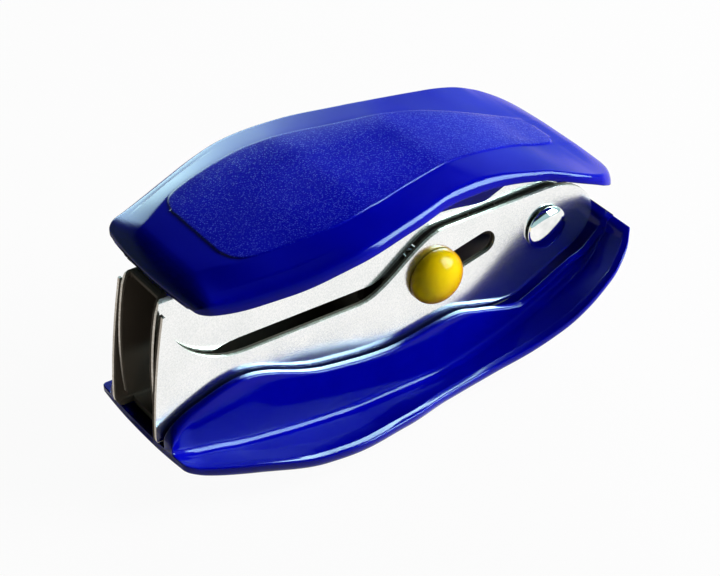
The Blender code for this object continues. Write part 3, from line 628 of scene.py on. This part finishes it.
def polished_nickel():
    """Bright nickel with faint smudges and a trace of unevenness from the press."""
    material, tree, shader = principled("polished_nickel", Metallic=1.0)
    surface = grouped(tree, handled, Smudge_Size=2 * mm, Speck_Size=0.15 * mm)
    colour = mix_colours(tree, surface["Smudge"], nickel_bright, nickel_shade)
    tree.links.new(colour, shader.inputs["Base Color"])
    tree.links.new(map_range(tree, surface["Speck"], 0.0, 1.0, *polish_roughness), shader.inputs["Roughness"])
    bump(tree, shader, surface["Smudge"], polish_depth)
    return material


nickel_polish = polished_nickel()
head_edge = rivet_head_rise / 16
head = rounded_profile([(rivet_radius, 0.0), (rivet_radius, rivet_head_back),
                        (rivet_head_radius, rivet_head_back),
                        (rivet_head_radius, rivet_head_back + head_edge)], rivet_edge_round)
head_dome = dome_profile(rivet_head_radius, rivet_head_back + head_edge, rivet_head_rise - head_edge)
head = np.vstack([head, head_dome[1:]])
rivet_profile = np.vstack([head[:0:-1] * (1, -1), head[1:]])
rivet = spun("pivot_rivet_turned", rivet_profile, zero_x + rivet_x, rivet_level, nickel_polish)
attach(rivet, "lower")
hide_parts("pivot_rivet")


# Torsion spring
# Just over two turns of hard drawn steel wire wound round the rivet, between the jaws' plates. Each
# leg ends in a straight foot that lies on one jaw's web and pushes the jaws open.
wire_diameter = 0.8 * mm
coil_radius = 2.35 * mm
coil_half_length = 1.6 * mm
full_turns = 2
web_level = 9.8 * mm
foot_from = 10.0 * mm
foot_to = 13.5 * mm
foot_level = web_level - sheet_thickness - gap - wire_diameter / 2
foot_bend = 1.2 * mm
wire_grey = (0.46, 0.45, 0.43, 1.0)
wire_oiled = (0.30, 0.28, 0.25, 1.0)
wire_roughness = (0.24, 0.40)


def spring_line():
    """Centre of the wire: a foot on the lower web, a straight leg that meets the coil as a tangent, a helix
    whose y grows evenly with its angle, and the same leg and foot turned over for the upper web."""
    bend = np.array([foot_to - rivet_x, -foot_level])
    touch = math.atan2(bend[1], bend[0]) + math.acos(coil_radius / np.linalg.norm(bend))
    sweep = 2 * math.pi * full_turns - 2 * touch
    t = np.linspace(0.0, 1.0, 120)
    angle = touch + sweep * t
    coil = np.column_stack([rivet_x + coil_radius * np.cos(angle), coil_half_length * (2 * t - 1),
                            coil_radius * np.sin(angle)])
    foot = np.array([(foot_from, -foot_level), (foot_to, -foot_level), (coil[0, 0], coil[0, 2])])
    bent = rounded_profile(foot, foot_bend, 9)
    s = np.linspace(0.0, 0.95, 14)[:, None]
    leg = np.vstack([bent[:-1], bent[-2] + (bent[-1] - bent[-2]) * s[1:]])
    lower = np.column_stack([leg[:, 0], np.full(len(leg), -coil_half_length), leg[:, 1]])
    return np.vstack([lower, coil, lower[::-1] * (1, -1, -1)])


def wire_tube(name, line, diameter, material, around=20):
    """Circle of the wire's size carried along the line, square to it; its ends are drawn in to a round."""
    along = np.gradient(line, axis=0)
    along /= np.linalg.norm(along, axis=1, keepdims=True)
    first = np.array([0.0, 1.0, 0.0]) - along * along[:, 1:2]
    first /= np.linalg.norm(first, axis=1, keepdims=True)
    second = np.cross(along, first)
    ease = 1 - np.array([0.0, 0.35, 0.7, 1.0])
    tip = np.sqrt(1 - np.clip(ease, 0, 0.97) ** 2)
    tip_length = 0.2 * diameter
    inward = tip_length * (1 - ease[:, None])
    starts = line[0] + along[0] * inward
    ends = line[-1] - along[-1] * inward
    centres = np.vstack([starts, line[1:-1], ends[::-1]])
    scale = np.concatenate([tip, np.ones(len(line) - 2), tip[::-1]])[:, None, None]
    pad = len(tip) - 1
    first = np.vstack([np.repeat(first[:1], pad, axis=0), first, np.repeat(first[-1:], pad, axis=0)])
    second = np.vstack([np.repeat(second[:1], pad, axis=0), second, np.repeat(second[-1:], pad, axis=0)])
    angle = np.linspace(0.0, 2 * np.pi, around, endpoint=False)[None, :, None]
    circle = first[:, None] * np.cos(angle) + second[:, None] * np.sin(angle)
    return loft(name, centres[:, None] + circle * scale * diameter / 2, material)[0]


def drawn_wire():
    """Grey steel with a satin of fine specks, darker where oil has dried."""
    material, tree, shader = principled("drawn_wire", Metallic=1.0)
    surface = grouped(tree, handled, Smudge_Size=1.5 * mm, Speck_Size=0.08 * mm)
    tree.links.new(mix_colours(tree, surface["Smudge"], wire_grey, wire_oiled), shader.inputs["Base Color"])
    tree.links.new(map_range(tree, surface["Speck"], 0.0, 1.0, *wire_roughness), shader.inputs["Roughness"])
    return material


wire_line = spring_line() + (zero_x, 0.0, rivet_level)
spring = wire_tube("torsion_spring_wire", wire_line, wire_diameter, drawn_wire())
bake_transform(spring)
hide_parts("torsion_spring")


# Lock pin
# A plain pin turned from steel rod, chamfered at its ends and nickel plated. It runs through the slots
# of the lower jaw's plates and is pushed into the socket of a button at each end.
pin_x = 6.35 * mm
pin_level = -0.7 * mm
pin_radius = 1.3 * mm
button_back = lower_jaw_half_width + gap
button_socket = 1.1 * mm
pin_end = button_back + button_socket - gap
pin_chamfer = pin_radius / 4
pin_edge_round = 0.1 * mm
pin_half = rounded_profile([(pin_radius, 0.0), (pin_radius, pin_end - pin_chamfer),
                            (pin_radius - pin_chamfer, pin_end), (flat_end_share * pin_radius, pin_end)],
                           pin_edge_round)
pin_profile = np.vstack([pin_half[:0:-1] * (1, -1), pin_half[1:]])
pin = spun("lock_pin_turned", pin_profile, zero_x + pin_x, rivet_level + pin_level, nickel_polish)
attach(pin, "lock")
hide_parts("lock_pin")


# Lock buttons
# Two domed caps moulded in glossy yellow plastic and pressed on to the ends of the pin. A thumb on
# either one slides the lock along its slot.
button_radius = 3.65 * mm
button_rim = 0.3 * mm
button_dome = 2.32 * mm
button_foot_gap = 0.08 * mm
button_foot = lower_jaw_half_width + button_foot_gap
socket_radius = pin_radius + gap
yellow_warm = (0.92, 0.63, 0.001, 1.0)
yellow_light = (0.94, 0.70, 0.002, 1.0)
# painted shade: orange-brown taken on by the dome towards its edges
yellow_painted_shade = (0.55, 0.20, 0.001, 1.0)
painted_shade_where_turned = (0.30, 0.85)
painted_shade_share = 0.85
button_roughness = (0.12, 0.18)
button_orange_peel = 0.002 * mm
button_edge_round = 0.12 * mm


def gloss_yellow():
    """Clear strong yellow, with orange-brown shade painted where the dome turns away from the eye."""
    material, tree, shader = principled("gloss_yellow", Specular_IOR_Level=0.06)
    surface = grouped(tree, handled, Smudge_Size=3 * mm, Speck_Size=0.3 * mm)
    body = mix_colours(tree, surface["Smudge"], yellow_light, yellow_warm)
    # painted shade: the yellow deepens to orange-brown where the dome turns away from the camera
    turned_away = add_node(tree, "ShaderNodeLayerWeight", {"Blend": 0.5}).outputs["Facing"]
    shade_amount = map_range(tree, turned_away, *painted_shade_where_turned, 0.0, painted_shade_share, smooth=True)
    tree.links.new(mix_colours(tree, shade_amount, body, yellow_painted_shade), shader.inputs["Base Color"])
    gloss = map_range(tree, surface["Smudge"], 0.0, 1.0, *button_roughness)
    tree.links.new(gloss, shader.inputs["Roughness"])
    bump(tree, shader, surface["Speck"], button_orange_peel)
    return material


yellow_gloss = gloss_yellow()
button_base = rounded_profile([(flat_end_share * socket_radius, button_back + button_socket),
                               (socket_radius, button_back + button_socket), (socket_radius, button_foot),
                               (button_radius, button_foot), (button_radius, button_foot + button_rim)],
                              button_edge_round)
button_top = dome_profile(button_radius, button_foot + button_rim, button_dome)
button_profile = np.vstack([button_base, button_top[1:]])
for name, side in (("lock_button_right", -1), ("lock_button_left", 1)):
    button = spun(name + "_cap", button_profile * (1, side), zero_x + pin_x, rivet_level + pin_level,
                  yellow_gloss)
    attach(button, "lock")
    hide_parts(name)


# Studio
# The tool lies on a white paper sheet, with a bright strip of wall low behind it and dark surroundings
# above. A cool panel at the right shows only in reflections; a lamp at the right and one at the rear only
# light. The camera stands where the photograph was taken.
table_reach = 3.0
paper_white = (0.50, 0.50, 0.50, 1.0)
shown_white = 0.95
cool_white = (0.62, 0.95, 1.0, 1.0)
plain_white = (1.0, 1.0, 1.0, 1.0)
wall_way = (0.242, 0.970, 0.0)
wall_spread = (0.88, 0.9986)
wall_falloff = 3.0
wall_glare = 9.0
wall_dim = 0.6
wall_top = (0.40, 0.53)
wall_above = 0.02
glow_way = (0.75, 0.10, 0.65)
glow_spread = (0.80, 0.95)
glow_strength = (0.01, 0.12)
heading = math.radians(34.948)
look_down = math.radians(34.587)
roll = math.radians(0.2405)
camera_place = Vector((-130.81, -185.30, 169.45)) * mm
focal_length = 113.72
sensor_width = 36.0


def paper_sheet(name, material):
    """Round flat sheet in polar form: rings of points whose radius grows by a fixed factor."""
    radius, angle = np.meshgrid(np.concatenate([[0.01], np.geomspace(0.05, table_reach, 40)]),
                                np.linspace(0.0, 2 * np.pi, 96, endpoint=False), indexing="ij")
    points = np.stack([radius * np.cos(angle), radius * np.sin(angle), 0 * radius], axis=-1)
    around = angle.shape[1]
    i, j = np.meshgrid(np.arange(len(radius) - 1), np.arange(around), indexing="ij")
    k = (j + 1) % around
    quads = np.stack([i * around + j, (i + 1) * around + j, (i + 1) * around + k, i * around + k], axis=-1)
    faces = quads.reshape(-1, 4).tolist() + [list(range(around))]
    return mesh_piece(name, points.reshape(-1, 3), faces, material)


def white_paper():
    """Matt white that the camera and the reflections see almost as plain white, yet with its shadows."""
    material, tree, shader = principled("white_paper", Roughness=0.9, Specular_IOR_Level=0.0)
    shader.inputs["Base Color"].default_value = paper_white
    ray = add_node(tree, "ShaderNodeLightPath").outputs
    seen = calculate(tree, "MAXIMUM", ray["Is Camera Ray"], ray["Is Glossy Ray"])
    seen = calculate(tree, "MAXIMUM", seen, ray["Is Transmission Ray"])
    glow = add_node(tree, "ShaderNodeEmission", {"Color": plain_white, "Strength": 1.0}).outputs[0]
    share_shown = calculate(tree, "MULTIPLY", seen, shown_white)
    mixed = add_node(tree, "ShaderNodeMixShader", {0: share_shown, 1: shader.outputs[0], 2: glow})
    tree.links.new(mixed.outputs[0], tree.nodes["Material Output"].inputs["Surface"])
    return material


paper_sheet("paper_sheet", white_paper())

world = bpy.data.worlds.new("studio")
world.use_nodes = True
sky = world.node_tree
bpy.context.scene.world = world
direction = add_node(sky, "ShaderNodeTexCoord").outputs["Generated"]
height = add_node(sky, "ShaderNodeSeparateXYZ", {0: direction}).outputs["Z"]


def towards(way, aim):
    """How nearly two directions agree: their dot product."""
    return add_node(sky, "ShaderNodeVectorMath", {0: way, 1: aim}, operation="DOT_PRODUCT").outputs["Value"]


level_way = add_node(sky, "ShaderNodeVectorMath", {0: direction, 1: (1.0, 1.0, 0.0)}, operation="MULTIPLY")
level_way = add_node(sky, "ShaderNodeVectorMath", {0: level_way.outputs[0]}, operation="NORMALIZE").outputs[0]
behind = map_range(sky, towards(level_way, wall_way), *wall_spread, 0.0, 1.0)
behind = calculate(sky, "MULTIPLY_ADD", calculate(sky, "POWER", behind, wall_falloff), wall_glare, wall_dim)
wall = calculate(sky, "MULTIPLY", behind, map_range(sky, height, *wall_top, 1.0, wall_above, smooth=True))
glow = map_range(sky, towards(direction, glow_way), *glow_spread, *glow_strength, smooth=True)
sky.links.new(calculate(sky, "ADD", wall, glow), sky.nodes["Background"].inputs["Strength"])
sky.nodes["Background"].inputs["Color"].default_value = cool_white
backdrop = add_node(sky, "ShaderNodeBackground", {"Color": plain_white, "Strength": shown_white}).outputs[0]
seen_direct = add_node(sky, "ShaderNodeLightPath").outputs["Is Camera Ray"]
shown = add_node(sky, "ShaderNodeMixShader", {0: seen_direct, 1: sky.nodes["Background"].outputs[0],
                                              2: backdrop})
sky.links.new(shown.outputs[0], sky.nodes["World Output"].inputs["Surface"])
world.cycles_visibility.diffuse = False


def softbox(name, way, distance, width, height, watts, mirrored):
    """Rectangular lamp that faces the tool's middle, either only mirrored in gloss or only lighting."""
    lamp = bpy.data.lights.new(name, "AREA")
    lamp.shape = "RECTANGLE"
    lamp.size = width
    lamp.size_y = height
    lamp.energy = watts
    lamp.color = cool_white[:3] if mirrored else plain_white[:3]
    stand = bpy.data.objects.new(name, lamp)
    bpy.context.scene.collection.objects.link(stand)
    place = Vector(way).normalized() * distance
    stand.location = place + Vector((0.0, 0.0, rivet_level))
    stand.rotation_euler = place.to_track_quat("Z", "Y").to_euler()
    stand.visible_glossy = mirrored
    stand.visible_diffuse = not mirrored


softbox("right_panel", way=(0.66, -0.63, 0.42), distance=0.45, width=0.24, height=0.32, watts=11.0,
        mirrored=True)
softbox("right_lamp", way=(0.82, -0.38, 0.42), distance=0.45, width=0.24, height=0.32, watts=4.2,
        mirrored=False)
softbox("rear_lamp", way=(0.55, 0.73, 0.40), distance=0.90, width=0.50, height=0.50, watts=6.0,
        mirrored=False)

camera = bpy.data.cameras.new("photo_view")
camera.lens = focal_length
camera.sensor_width = sensor_width
camera.sensor_fit = "HORIZONTAL"
camera.clip_start = 0.01
camera.clip_end = 20.0
viewer = bpy.data.objects.new("photo_view", camera)
bpy.context.scene.collection.objects.link(viewer)
viewer.matrix_world = (Matrix.Translation(camera_place) @ Matrix.Rotation(-heading, 4, "Z")
                       @ Matrix.Rotation(math.pi / 2 - look_down, 4, "X") @ Matrix.Rotation(roll, 4, "Z"))
bpy.context.scene.camera = viewer
bpy.context.scene.view_settings.view_transform = "Standard"
